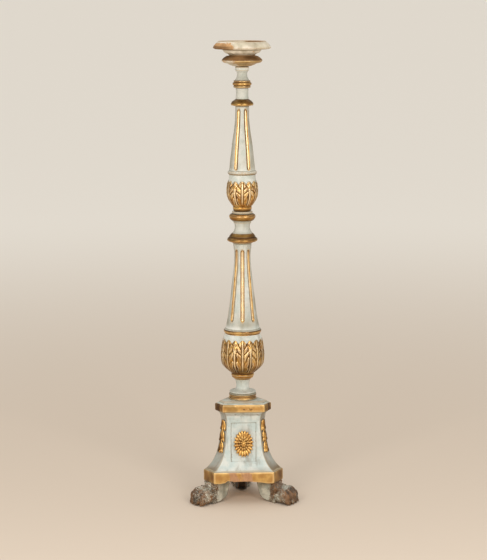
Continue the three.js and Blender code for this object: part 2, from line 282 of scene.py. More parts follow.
# The soil mark brings dirt and, in places, painted shade, in the Grime colour.
wood = timber.mix(timber.math("MAXIMUM", soiled, given["Soil_and_Shade"]), wood, given["Grime_and_Shade"])
rubbed = timber.times(timber.ramp(given["Relief"], 0.15, 0.8), 0.45)
timber.feed(result["Color"], timber.mix(rubbed, wood, given["Light"]))
timber.feed(result["Roughness"], timber.ramp(grain, 0.2, 0.8, 0.5, 0.72))
timber.feed(result["Height"], grain)

# Old chalky paint over gesso: mottled, stained, dirty in the corners, worn through on edges.
paint, given, result = effect(
    "old_paint",
    {
        "Wear": 0.5, "Light": (214, 217, 208), "Cool": (190, 200, 192),
        "Dirt_and_Shade": (140, 128, 102), "Under": (170, 142, 108),
    },
)
mottle = paint.noise(26, 4.0)
stain = paint.noise(22, 4.0, (1, 1, 0.22), 0.6)
speck = paint.noise(4.5, 4.0, rough=0.7)
coat = paint.mix(paint.ramp(mottle, 0.38, 0.62), given["Cool"], given["Light"])
coat = paint.mix(paint.times(paint.ramp(stain, 0.48, 0.7), 0.5), coat, given["Dirt_and_Shade"])
dust = paint.times(paint.ramp(given["Relief"], -0.04, -0.6), 0.85)
# The soil mark brings dirt and, in places, painted shade, in the Dirt colour.
coat = paint.mix(paint.math("MAXIMUM", dust, given["Soil_and_Shade"]), coat, given["Dirt_and_Shade"])
edge = paint.math("ADD", given["Relief"], paint.times(speck, 0.9))
worn = paint.times(paint.ramp(edge, 0.75, 1.0), given["Wear"])
paint.feed(result["Color"], paint.mix(worn, coat, given["Under"]))
paint.feed(result["Roughness"], paint.ramp(mottle, 0.3, 0.7, 0.5, 0.68))
paint.feed(result["Height"], paint.math("SUBTRACT", speck, paint.times(worn, 0.8)))

# Old water gilding: warm leaf toned brown, black-brown in the cuts, and a painted highlight in the Glint
# colour on what stands out.
gilding, given, result = effect(
    "old_gold",
    {"Leaf": (214, 160, 88), "Tone": (160, 104, 48), "Deep": (70, 42, 18), "Glint": (250, 212, 140)},
    ("Color", "Roughness", "Metallic", "Height"),
)
cloud = gilding.noise(20, 4.0)
speck = gilding.noise(3.5, 3.0, rough=0.7)
cut = gilding.ramp(given["Relief"], 0.04, -0.6)
# Painted highlight: what stands out, or is marked as highlighted, is mixed towards the Glint colour.
bright = gilding.times(gilding.ramp(given["Relief"], 0.1, 0.8), 0.6)
leaf = gilding.mix(gilding.ramp(cloud, 0.36, 0.66), given["Tone"], given["Leaf"])
leaf = gilding.mix(gilding.times(cut, 0.88), leaf, given["Deep"])
leaf = gilding.mix(bright, leaf, given["Glint"])
# The soil mark brings dirt and, in places, painted shade, in the Deep colour.
leaf = gilding.mix(given["Soil_and_Shade"], leaf, given["Deep"])
rubbed = gilding.times(gilding.ramp(speck, 0.6, 0.75), 0.4)
gilding.feed(result["Color"], gilding.mix(rubbed, leaf, given["Tone"]))
dull = gilding.math("ADD", gilding.times(cut, 0.25), gilding.ramp(cloud, 0.3, 0.7, 0.3, 0.42))
gilding.feed(result["Roughness"], dull)
sheen = gilding.math("SUBTRACT", gilding.ramp(cut, 0.0, 1.0, 0.93, 0.5), gilding.times(bright, 0.5))
gilding.feed(result["Metallic"], sheen)
gilding.feed(result["Height"], speck)


def old_finish(name, timber_tones, paint_tones, gold_tones, bump=0.35, ragged=0.5, flake=9):
    """Timber, paint and gold in layers: the piece's own marks say where each one lies."""
    material = bpy.data.materials.new(name)
    material.use_nodes = True
    net = Net(material.node_tree)
    shader = net.tree.nodes["Principled BSDF"].inputs
    state = {"Relief": net.mark("relief"), "Soil_and_Shade": net.mark("soil_and_shade")}
    wood = net.add("Group", {**state, **timber_tones}, node_tree=timber.tree)
    coat = net.add("Group", {**state, **paint_tones}, node_tree=paint.tree)
    gold = net.add("Group", {**state, **gold_tones}, node_tree=gilding.tree)
    uneven = net.math("SUBTRACT", net.noise(flake, 5.0, rough=0.7), 0.5)
    fray = net.times(uneven, ragged * 2)
    painted = net.ramp(net.math("ADD", net.mark("paint"), fray), 0.44, 0.56)
    gilded = net.ramp(net.math("ADD", net.mark("gilt"), net.times(fray, 0.35)), 0.44, 0.56)

    def layered(label):
        return net.mix(gilded, net.mix(painted, wood[label], coat[label]), gold[label])

    net.feed(shader["Base Color"], layered("Color"))
    net.feed(shader["Roughness"], layered("Roughness"))
    net.feed(shader["Metallic"], net.times(gilded, gold["Metallic"]))
    height = {"Height": layered("Height"), "Strength": bump, "Distance": 0.6 * MM}
    net.feed(shader["Normal"], net.add("Bump", height)[0])
    return material


paw_wood = old_finish(
    "paw_wood",
    {"Light": (140, 100, 62), "Dark": (42, 34, 26)},
    {
        "Wear": 0.9, "Light": (206, 203, 186), "Cool": (158, 160, 146),
        "Dirt_and_Shade": (104, 94, 74), "Under": (90, 72, 50),
    },
    {},
    bump=0.8,
    ragged=1.9,
    flake=2.6,
)


def bracket_width(out):
    return np.interp(out, (45, 61, 92, 108), (8, 11, 17, 24))


def carve_paw():
    """A paw pointing to the front: four toes with claws, an ankle with locks of hair, a bracket."""
    bm = bmesh.new()
    board(bm, [(out, low, FOOT_TOP) for out, low in BRACKET], bracket_width)
    lump(bm, (0, -104, 27), (24, 20, 25.5))
    lump(bm, (0, -117, 22), (28, 23, 25), tilt=15)
    lump(bm, (0, -126, 13), (31, 20, 13))
    for across, reach in TOES:
        spread = across * 0.5
        inward = across * 0.93
        lump(bm, (inward, -(reach - 21), 27), (8.4, 15, 14), tilt=25, swing=spread)
        lump(bm, (across, -(reach - 10.5), 17.5), (9.2, 10.5, 14.5), tilt=10, swing=spread)
        lump(bm, (across, -(reach - 5), 9), (8, 6.5, 8.5), swing=spread)
        lump(bm, (across * 1.02, -(reach - 0.5), 5), (2.6, 3.8, 5), tilt=-25, grain=(12, 8))
    for row, (out, z, count) in enumerate(HAIR_ROWS):
        for i in range(count):
            share = 2 * i / (count - 1) - 1
            across = 19 * share
            centre = (across, -out - 2 * (1 - share * share), z - 9 * share * share)
            lump(bm, centre, (3, 9, 4.4), tilt=32 + 8 * row, swing=share * 26, grain=(12, 10))
    for side in (-1, 1):
        for row, (out, z) in enumerate(SIDE_LOCKS):
            centre = (side * (bracket_width(out) + 0.8), -out, z)
            tilt = -30 - 6 * (row % 3)
            lump(bm, centre, (3, 9, 3.6), tilt=tilt, swing=side * 18, grain=(12, 10))
    return run_together(bm, FOOT_VOXEL, 3)


paw_mesh = carve_paw()
for seed, (corner, bearing) in enumerate(CORNERS.items(), 1):
    mesh = paw_mesh.copy()
    points = points_of(mesh)
    out, across, z = -points[:, 1], points[:, 0], points[:, 2]
    on_paw = step_up(88, 102, out)
    hair = waver(points * (1, 0.35, 0.7), 3.6, seed + 5) * on_paw
    hair *= 1 - 0.6 * step_up(122, 134, out)
    unevenness = waver(points, 14, seed + 9) * 0.5
    points[:, 0] += (hair * 0.7 + unevenness) * np.sign(across)
    points[:, 2] += (hair * 0.9 + unevenness) * step_up(2, 14, z)
    points[:, 1] = np.clip(points[:, 1], -TOE_REACH, -BRACKET[0][0])
    points[:, 2] = np.clip(points[:, 2], 0, FOOT_TOP)
    points[:, 0] = np.clip(points[:, 0], -FOOT_HALF, FOOT_HALF)
    move_points(mesh, points)
    mark_relief(mesh, 14, 1.2)
    stretch = TURNED_OUT * step_up(104, 140, out) * (corner == "right")
    points[:, 1] = np.maximum(points[:, 1] - stretch, -TOE_REACH)
    move_points(mesh, points)
    scraps = 0.4 + 0.22 * waver(points, 16, seed + 30) - 0.3 * step_up(128, 140, out)
    on_bracket = 1 - step_up(80, 94, out + 6 * waver(points, 13, seed + 50))
    back_foot = corner == "back"
    smears = 0.35 * step_up(0.0, 0.7, waver(points, 11, seed + 40)) * on_paw
    paint_left = (1 - back_foot) * on_bracket + (1 - on_bracket) * scraps
    mark(mesh, gilt=0, paint=paint_left, soil_and_shade=0.9 * back_foot * on_bracket + smears)
    finish_piece(mesh, f"paw_{corner}", bearing, paw_wood, f"paw_foot_{corner}")
bpy.data.meshes.remove(paw_mesh)

# ---------------------------------------------------------------- foot slab
# A thick three-sided board with its corners cut off, screwed down on the feet. Its moulded edge
# is gilt, the top is painted, and one place on the front lower edge has broken away.

slab_low, slab_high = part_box("foot_slab")
SLAB = {"under": slab_low.z / MM, "top": slab_high.z / MM, "long": 156.5, "short": 51.5}
SLAB_ROUND = 3.0
SAME_LEVEL = 1e-4
ARCH = {"half_span": 62.0, "rise": 6.0, "tall": 16.0}
CHIP = {"across": -38.0, "half": 11.0, "rise": 4.5}
RUBBED = {"across": -8.0, "half": 42.0, "fades": 16.0}


def side_out(long, short):
    """Distance from the axis to a long side of a triangle with cut corners."""
    return (long + 2 * short) / (2 * math.sqrt(3))


def plan_corners(long, short):
    """The six corners of the plan, from the front side's left end round towards +X."""
    corners = []
    for bearing in SIDES.values():
        for end in (-0.5, 0.5):
            corners.append(turned_to(bearing) @ Vector((end * long, -side_out(long, short), 0)))
    return corners


def cut_mesh(bm):
    """Makes a mesh, with its many-sided end faces cut into triangles."""
    bmesh.ops.triangulate(bm, faces=[face for face in bm.faces if len(face.verts) > 4])
    return to_mesh(bm, "piece")


def stack_plans(levels, long_cuts, short_cuts):
    """A body drawn up from its lowest plan through (height, long, short) levels."""
    bm = bmesh.new()
    height, long, short = levels[0]
    ring = [bm.verts.new(corner + Vector((0, 0, height))) for corner in plan_corners(long, short)]
    edges = [bm.edges.new((ring[i], ring[(i + 1) % 6])) for i in range(6)]
    first = list(edges)
    for height, long, short in levels[1:]:
        drawn = bmesh.ops.extrude_edge_only(bm, edges=edges)["geom"]
        ring = [item for item in drawn if isinstance(item, bmesh.types.BMVert)]
        edges = [item for item in drawn if isinstance(item, bmesh.types.BMEdge)]
        targets = plan_corners(long, short)
        for vert in ring:
            flat = Vector((vert.co.x, vert.co.y, 0)).normalized()
            near = max(targets, key=lambda corner: corner.normalized().dot(flat))
            vert.co = near + Vector((0, 0, height))
    level_edges = []
    for edge in bm.edges:
        if abs(edge.verts[0].co.z - edge.verts[1].co.z) < SAME_LEVEL:
            level_edges.append(edge)
    is_long = {edge: edge.calc_length() > 1.6 * short for edge in level_edges}
    for cuts, wanted in ((long_cuts, True), (short_cuts, False)):
        chosen = [edge for edge in level_edges if edge.is_valid and is_long[edge] is wanted]
        bmesh.ops.subdivide_edges(bm, edges=chosen, cuts=cuts, use_grid_fill=True)
    open_edges = [edge for edge in bm.edges if edge.is_boundary]
    for height in (levels[0][0], levels[-1][0]):
        rim = [edge for edge in open_edges if abs(edge.verts[0].co.z - height) < SAME_LEVEL]
        bmesh.ops.edgeloop_fill(bm, edges=rim)
    bmesh.ops.recalc_face_normals(bm, faces=bm.faces)
    return cut_mesh(bm)


def set_in(z, board, amount):
    """A level of a three-sided board with all its sides set in by an amount."""
    trim = 2 * amount / math.sqrt(3)
    return z, board["long"] - trim, board["short"] - trim


def rounded_levels(board, radius, steps, count):
    """Levels of a board with rounded edges, with even steps up its side."""
    under, top = board["under"], board["top"]
    straight = top - under - 2 * radius
    quarter = []
    for i in range(steps + 1):
        angle = math.pi / 2 * i / steps
        quarter.append((radius * (1 - math.cos(angle)), radius * (1 - math.sin(angle))))
    levels = [set_in(under + rise, board, inset) for rise, inset in quarter]
    levels += [set_in(under + radius + straight * i / count, board, 0) for i in range(1, count)]
    return levels + [set_in(top - rise, board, inset) for rise, inset in reversed(quarter)]


def side_frame(points, bearing):
    """Distance out along a bearing, and across it, of every point."""
    angle = math.radians(bearing)
    out = points[:, 0] * math.sin(angle) - points[:, 1] * math.cos(angle)
    across = points[:, 0] * math.cos(angle) + points[:, 1] * math.sin(angle)
    return out, across


def on_cut_corners(points, board):
    """1 on the canted corners of the base's boards, 0 on the long sides."""
    turned = np.degrees(np.arctan2(points[:, 0], -points[:, 1])) % 120
    reach = np.hypot(points[:, 0], points[:, 1])
    along = reach * np.sin(np.radians(turned - 60))
    out = reach * np.cos(np.radians(turned - 60))
    side = out * 0.5 + np.abs(along) * math.sqrt(3) / 2
    return step_up(0, 1.2, out - side - (board["long"] - board["short"]) / (2 * math.sqrt(3)))


def push_out(points, amount):
    """Moves points out from the shaft's axis, or in where the amount is below 0."""
    share = 1 + amount / np.maximum(np.hypot(points[:, 0], points[:, 1]), 1)
    points[:, 0] *= share
    points[:, 1] *= share


slab_gold = old_finish(
    "slab_gold",
    {"Light": (196, 150, 108), "Dark": (160, 112, 76)},
    {"Wear": 0.6, "Light": (196, 198, 188), "Cool": (176, 182, 172)},
    {"Leaf": (228, 186, 112), "Tone": (204, 156, 94), "Deep": (92, 62, 34), "Glint": (246, 210, 146)},
    bump=0.3,
    ragged=0.6,
)


def carve_slab():
    under, top = SLAB["under"], SLAB["top"]
    mesh = stack_plans(rounded_levels(SLAB, SLAB_ROUND, 4, 11), 63, 19)
    points = points_of(mesh)
    z = points[:, 2]
    edge_out = side_out(SLAB["long"], SLAB["short"])
    for bearing in SIDES.values():
        out, across = side_frame(points, bearing)
        span = np.clip(1 - (across / ARCH["half_span"]) ** 2, 0, 1)
        low = 1 - step_up(under, under + ARCH["tall"], z)
        z += ARCH["rise"] * span * low * step_up(edge_out - 26, edge_out - 16, out)
    out, across = side_frame(points, SIDES["front"])
    broken = np.clip(1 - ((across - CHIP["across"]) / CHIP["half"]) ** 2, 0, 1)
    broken *= step_up(edge_out - 12, edge_out - 4, out) * (1 - step_up(under + 8, under + 15, z))
    z += CHIP["rise"] * broken * (1 + 0.3 * waver(points, 4, 41))
    away = np.hypot(points[:, 0], points[:, 1])
    nicked = waver(points, 9, 42) * 0.5 + np.minimum(0, waver(points, 5, 43) + 0.35) * 1.2
    on_arris = np.maximum(step_up(top - 5, top, z), 1 - step_up(under, under + 5, z))
    push_out(points, np.minimum(0, nicked) * on_arris * step_up(60, 80, away))
    move_points(mesh, points)
    mark_relief(mesh, 8, 0.5)
    flat_top = step_up(top - 1.2, top - 0.2, z)
    off = np.abs(across - RUBBED["across"])
    rubbed = step_up(RUBBED["half"], RUBBED["half"] - RUBBED["fades"], off)
    rubbed = rubbed * step_up(edge_out - 6, edge_out - 2, out)
    gold = 1 - flat_top - 0.56 * rubbed + 0.1 * waver(points, 14, 44)
    soil_and_shade = (0.6 + 0.25 * waver(points, 12, 45)) * on_cut_corners(points, SLAB) * (1 - flat_top)
    mark(mesh, gilt=gold, paint=flat_top, soil_and_shade=soil_and_shade)
    return mesh


finish_piece(carve_slab(), "gilt_foot_slab", 0, slab_gold, "foot_slab")

# ---------------------------------------------------------------- pedestal
# The three-sided body: hollow-sided, flared at the foot, with a sunk panel on each face. Jointed
# up from boards, gessoed and painted; the cut corners are darker, the left one less than the others,
# dirt lies along the foot, and each rosette has a painted shadow round it.

PEDESTAL_FOOT, PEDESTAL_TOP = (corner.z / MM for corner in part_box("pedestal"))
PEDESTAL_LEVELS = (85, 90, 101, 114, 128, 145, 170, 222, 233, 240)
PEDESTAL_LONG = (155, 144, 127, 114, 104, 97.5, 93, 89.6, 94, 104)
PEDESTAL_SHORT = (47.5, 45, 41, 37.5, 35, 33, 31, 26.5, 28.5, 34)
PANEL = {"half": 33.5, "low": 109.0, "high": 210.0, "depth": 1.5, "edge": 1.2}
ROSETTE = {"half": 26.0, "tall": 35.0, "centre": 155.5, "relief": 7.0}
GLUE_LINE = 0.2


def smooth_through(z, heights, values):
    """A curve passing smoothly through the values given at those heights."""
    heights, values = np.asarray(heights, float), np.asarray(values, float)
    slopes = np.gradient(values, heights)
    i = np.clip(np.searchsorted(heights, z) - 1, 0, len(heights) - 2)
    span = heights[i + 1] - heights[i]
    t = np.clip((z - heights[i]) / span, 0, 1)
    bend = t * t * (3 - 2 * t)
    pull = span * (t * (1 - t) ** 2 * slopes[i] - t * t * (1 - t) * slopes[i + 1])
    return values[i] * (1 - bend) + values[i + 1] * bend + pull


def pedestal_plan(z):
    """Length of a long side and of a cut corner at a height."""
    long = smooth_through(z, PEDESTAL_LEVELS, PEDESTAL_LONG)
    return long, smooth_through(z, PEDESTAL_LEVELS, PEDESTAL_SHORT)


def panel_floor(z):
    """Distance out from the axis to the floor of a sunk panel."""
    return side_out(*pedestal_plan(z)) - PANEL["depth"]


def corner_out(z):
    """Distance out from the axis to a cut corner of the pedestal."""
    long, short = pedestal_plan(z)
    return 2 * side_out(long, short) - short * math.sqrt(3) / 2


base_paint = old_finish(
    "base_paint",
    {"Light": (160, 130, 98), "Dark": (120, 92, 66)},
    {
        "Wear": 0.6, "Light": (210, 213, 206), "Cool": (188, 200, 196),
        "Dirt_and_Shade": (118, 101, 76), "Under": (172, 158, 128),
    },
    {},
    bump=0.4,
)


def carve_pedestal():
    heights = np.concatenate((
        np.linspace(PEDESTAL_FOOT, 107, 18),
        np.linspace(107, 112, 8)[1:],
        np.linspace(112, 207, 48)[1:],
        np.linspace(207, 213, 9)[1:],
        np.linspace(213, PEDESTAL_TOP, 18)[1:],
    ))
    mesh = stack_plans([(float(z), *map(float, pedestal_plan(z))) for z in heights], 95, 15)
    points = points_of(mesh)
    z = points[:, 2]
    darkening = np.zeros(len(points))
    for seed, bearing in enumerate(SIDES.values()):
        out, across = side_frame(points, bearing)
        on_face = step_up(3.5, 2.5, side_out(*pedestal_plan(z)) - out)
        wobble = waver(points, 30, 60 + seed) * 0.6
        soft = PANEL["edge"]
        inside = step_up(PANEL["half"] + soft, PANEL["half"] - soft, np.abs(across) + wobble)
        inside = inside * step_up(PANEL["low"] - soft, PANEL["low"] + soft, z + wobble)
        inside = inside * step_up(PANEL["high"] + soft, PANEL["high"] - soft, z + wobble)
        sink = inside * on_face * PANEL["depth"]
        angle = math.radians(bearing)
        points[:, 0] -= sink * math.sin(angle)
        points[:, 1] += sink * math.cos(angle)
        # Painted shadow round each rosette, on the panel about it.
        oval = np.hypot(across / 30, (z - ROSETTE["centre"]) / 40)
        darkening = np.maximum(darkening, on_face * step_up(1.35, 0.9, oval))
    push_out(points, waver(points, 22, 71) * 0.35 + np.minimum(0, waver(points, 7, 72) + 0.5) * 0.5)
    move_points(mesh, points)
    mark_relief(mesh, 6, 0.5)
    on_corner = np.zeros(len(points))
    # The cut corners are darker, the left one less than the others.
    for corner, bearing in CORNERS.items():
        out = side_frame(points, bearing)[0]
        corner_darkening = 0.6 if corner == "left" else 1.0
        on_corner = np.maximum(on_corner, corner_darkening * step_up(1.5, 0.5, corner_out(z) - out))
    low_dirt = step_up(PEDESTAL_FOOT + 16, PEDESTAL_FOOT, z)
    cloud = 0.5 + 0.5 * waver(points, 30, 73)
    soil_and_shade = on_corner * (0.5 + 0.5 * cloud) + (0.45 * low_dirt + 0.25 * darkening) * cloud
    mark(mesh, gilt=0, paint=0.86 + 0.14 * cloud - 0.25 * on_corner * low_dirt, soil_and_shade=soil_and_shade)
    return mesh


finish_piece(carve_pedestal(), "painted_pedestal", 0, base_paint, "pedestal")

# ---------------------------------------------------------------- rosettes
# One oval rosette glued in each panel: twenty round-ended petals round a ring of small ones and
# a boss, cut from a thin board and gilt.

carving_gold = old_finish(
    "carving_gold",
    {"Light": (150, 108, 70), "Dark": (96, 64, 40)},
    {},
    {"Leaf": (226, 178, 102), "Tone": (186, 134, 66), "Deep": (70, 44, 20), "Glint": (255, 230, 172)},
    bump=0.25,
)


def carve_rosette():
    bm = bmesh.new()
    half, tall, relief = ROSETTE["half"], ROSETTE["tall"], ROSETTE["relief"]
    lump(bm, (0, -0.5, 0), (half * 0.9, 2.6, tall * 0.9), grain=(40, 12))

    def petals(count, start, end, width, lift, thick):
        for i in range(count):
            angle = math.tau * (i + 0.5) / count
            side, up = math.cos(angle), math.sin(angle)
            middle = (start + end) / 2
            length = (end - start) / 2 * math.hypot(half * side, tall * up)
            lean = 90 - math.degrees(math.atan2(tall * up, half * side))
            centre = (half * middle * side, -lift, tall * middle * up)
            lump(bm, centre, (width, thick, length), lean=lean, grain=(12, 12))

    petals(20, 0.5, 1.0, 3.7, 2.7, 3.4)
    petals(12, 0.28, 0.58, 3.2, 3.6, 2.6)
    petals(8, 0.1, 0.3, 2.6, 4.4, 2.0)
    lump(bm, (0, -4.6, 0), (3.6, 2.2, 4.8))
    return run_together(bm, 0.62, 2)


rosette_mesh = carve_rosette()
for seed, (side, bearing) in enumerate(SIDES.items()):
    mesh = rosette_mesh.copy()
    points = points_of(mesh)
    lift = -points[:, 1] + waver(points, 6, 80 + seed) * 0.3
    lift = np.clip(lift, 0.1, ROSETTE["relief"] - 0.1)
    points[:, 2] += ROSETTE["centre"]
    points[:, 1] = -(panel_floor(points[:, 2]) + GLUE_LINE + lift)
    move_points(mesh, points)
    mark_relief(mesh, 16, 0.75)
    up = points[:, 2] - ROSETTE["centre"]
    oval = np.hypot(points[:, 0] / ROSETTE["half"], up / ROSETTE["tall"])
    inner_ring = step_up(0.56, 0.46, oval) * step_up(0.12, 0.2, oval)
    soil_and_shade = np.maximum(0.75 * step_up(2.4, 0.8, lift), 0.3 * inner_ring)
    mark(mesh, gilt=0.95 + 0.2 * waver(points, 8, 84 + seed), paint=0, soil_and_shade=soil_and_shade)
    finish_piece(mesh, f"gilt_rosette_{side}", bearing, carving_gold, f"rosette_{side}")
bpy.data.meshes.remove(rosette_mesh)

# ---------------------------------------------------------------- husk drops
# A drop of three overlapping husks glued down each cut corner: every husk has a ridged middle
# leaf and two side leaves, and comes out of the mouth of the one above. Their outer sides, turned
# from the front, carry painted shade.

HUSK = {"low": 130.0, "pitch": 29.0, "count": 3, "half": 12.4, "relief": 7.0}
OUTER_SIDE = {"right": 1, "back": 0, "left": -1}


def carve_husks():
    bm = bmesh.new()
    for i in range(HUSK["count"]):
        foot = HUSK["low"] + i * HUSK["pitch"]
        middle = foot + HUSK["pitch"] / 2
        lump(bm, (0, -1.5, middle + 2), (6.4, 4.6, HUSK["pitch"] * 0.56), tilt=5)
        lump(bm, (0, -4.6, middle - 1), (1.5, 1.9, HUSK["pitch"] * 0.46), tilt=4, grain=(10, 12))
        for side in (-1, 1):
            side_leaf = (3.9, 3.6, HUSK["pitch"] * 0.48)
            tip = (side * 8.8, -2.0, foot + 6)
            lump(bm, (side * 6.4, -1.2, middle + 1), side_leaf, tilt=6, lean=-side * 12)
            lump(bm, tip, (2.9, 2.8, 6.5), tilt=10, lean=-side * 24, grain=(14, 10))
        lump(bm, (0, -2.6, foot + 3.5), (4.4, 3.4, 5), tilt=10)
    return run_together(bm, 0.7, 2)


husk_mesh = carve_husks()
for seed, (corner, bearing) in enumerate(CORNERS.items()):
    mesh = husk_mesh.copy()
    points = points_of(mesh)
    points[:, 0] = np.clip(points[:, 0], -HUSK["half"], HUSK["half"])
    high = HUSK["low"] + HUSK["count"] * HUSK["pitch"] - 0.5
    points[:, 2] = np.clip(points[:, 2], HUSK["low"], high)
    lift = -points[:, 1] + waver(points, 6, 90 + seed) * 0.3
    lift = np.clip(lift, 0.05, HUSK["relief"] - 0.1)
    points[:, 1] = -(corner_out(points[:, 2]) + GLUE_LINE + lift)
    move_points(mesh, points)
    mark_relief(mesh, 14, 0.7)
    outer = points[:, 0] * OUTER_SIDE[corner]
    # Painted shade on the husk's side turned away from the front.
    outer_side_shade = 0.8 * step_up(-3.5, 1.5, outer + 4 * waver(points, 5, 97 + seed))
    low_parts = 0.85 * step_up(3.0, 0.8, lift + waver(points, 8, 97 + seed))
    gold = 0.9 + 0.25 * waver(points, 9, 94 + seed)
    mark(mesh, gilt=gold, paint=0, soil_and_shade=np.maximum(outer_side_shade, low_parts))
    finish_piece(mesh, f"husks_{corner}", bearing, carving_gold, f"husk_drop_{corner}")
bpy.data.meshes.remove(husk_mesh)

# ---------------------------------------------------------------- cap slab
# The board that closes the pedestal: a rounded gilt edge, then a painted hipped top with a low
# step for the shaft to stand on.

CAP = {"long": 109.0, "short": 38.0}
CAP_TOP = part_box("cap_slab")[1].z / MM
GILT_TO = 260.0
CAP_LEVELS = (
    (240, 2.4), (240.6, 1.1), (242, 0.2), (244, 0), (248, 0), (252, 0), (256, 0), (258, 0.2),
    (259.4, 1), (GILT_TO, 2.4), (261.2, 4.6), (262.4, 6.8), (263.5, 9), (265, 9.5), (266.2, 12),
    (CAP_TOP, 14.5), (CAP_TOP, 17),
)


def carve_cap():
    levels = [set_in(z, CAP, inset) for z, inset in CAP_LEVELS]
    mesh = stack_plans(levels, 50, 17)
    points = points_of(mesh)
    nicks = np.minimum(0, waver(points, 6, 101) + 0.45) * 1.1 - 0.15
    push_out(points, nicks + waver(points, 18, 102) * 0.15)
    move_points(mesh, points)
    mark_relief(mesh, 4, 0.35)
    edge = step_up(GILT_TO + 0.6, GILT_TO - 0.6, points[:, 2])
    stains = 0.4 * step_up(0.1, 0.6, waver(points, 16, 103))
    mark(mesh, gilt=edge, paint=1 - edge, soil_and_shade=stains + 0.7 * edge * on_cut_corners(points, CAP))
    return mesh


finish_piece(carve_cap(), "gilt_edged_cap", 0, slab_gold, "cap_slab")

# ---------------------------------------------------------------- lower shaft
# The lower half of the shaft, turned in one piece from its foot ring to its top ring. The bulb is
# carved with eight leaves and ribs between them, and the stem with eight round-ended flutes.

SHAFT_TURN = -2.5


def trace(stretches):
    """Closely spaced (radius, height) points along a turner's template, from foot to top.

    The first stretch is the starting point. After it, a number sets how far apart the points are,
    (radius, z) is a straight, (crest, radius, z) is a bead, (pull radius, pull z, radius, z) is a
    bend that leans towards its pull, and a pair of lists is a long curve as (heights, radii).
    """
    points = [stretches[0]]
    spacing = 1.0
    for stretch in stretches[1:]:
        if isinstance(stretch, (int, float)):
            spacing = stretch
            continue
        start = Vector(points[-1])
        if isinstance(stretch[0], tuple):
            heights, radii = stretch
            length = heights[-1] - start.y

            def point_at(t):
                z = start.y + length * t
                return float(smooth_through(z, heights, radii)), z
        elif len(stretch) == 2:
            end = Vector(stretch)
            length = (end - start).length

            def point_at(t):
                return start.lerp(end, t)
        elif len(stretch) == 3:
            crest, end = stretch[0], Vector(stretch[1:])
            half = (end.y - start.y) / 2
            length = 2.2 * (crest - end.x) + 2 * half

            def point_at(t):
                base = start.x + (end.x - start.x) * t
                swell = (crest - base) * math.sin(math.pi * t)
                return base + swell, start.y + half - half * math.cos(math.pi * t)
        else:
            pull, end = Vector(stretch[:2]), Vector(stretch[2:])
            length = (pull - start).length + (end - pull).length

            def point_at(t):
                return start.lerp(pull, t).lerp(pull.lerp(end, t), t)
        count = max(1, round(length / spacing))
        points += [tuple(point_at(i / count)) for i in range(1, count + 1)]
    return points


def turn(stretches, steps):
    """Turns a piece to a template about the shaft's axis."""
    bm = bmesh.new()
    verts = [bm.verts.new((0, -radius, z)) for radius, z in trace(stretches)]
    edges = [bm.edges.new(pair) for pair in zip(verts, verts[1:])]
    bmesh.ops.spin(
        bm, geom=verts + edges, angle=math.tau, steps=steps,
        axis=(0, 0, 1), cent=(0, 0, 0), use_merge=True,
    )
    bmesh.ops.remove_doubles(bm, verts=bm.verts, dist=1e-3)
    bmesh.ops.recalc_face_normals(bm, faces=bm.faces)
    return cut_mesh(bm)


def round_the_axis(points):
    """Bearing in degrees, radius and height of every point."""
    bearing = np.degrees(np.arctan2(points[:, 0], -points[:, 1]))
    return bearing, np.hypot(points[:, 0], points[:, 1]), points[:, 2].copy()


def set_radius(points, bearing, radius):
    angle = np.radians(bearing)
    points[:, 0] = radius * np.sin(angle)
    points[:, 1] = -radius * np.cos(angle)


def off_centre(bearing, count, first):
    """Degrees from the nearest of a number of leaves or flutes spaced evenly round."""
    pitch = 360 / count
    return (bearing - first + pitch / 2) % pitch - pitch / 2


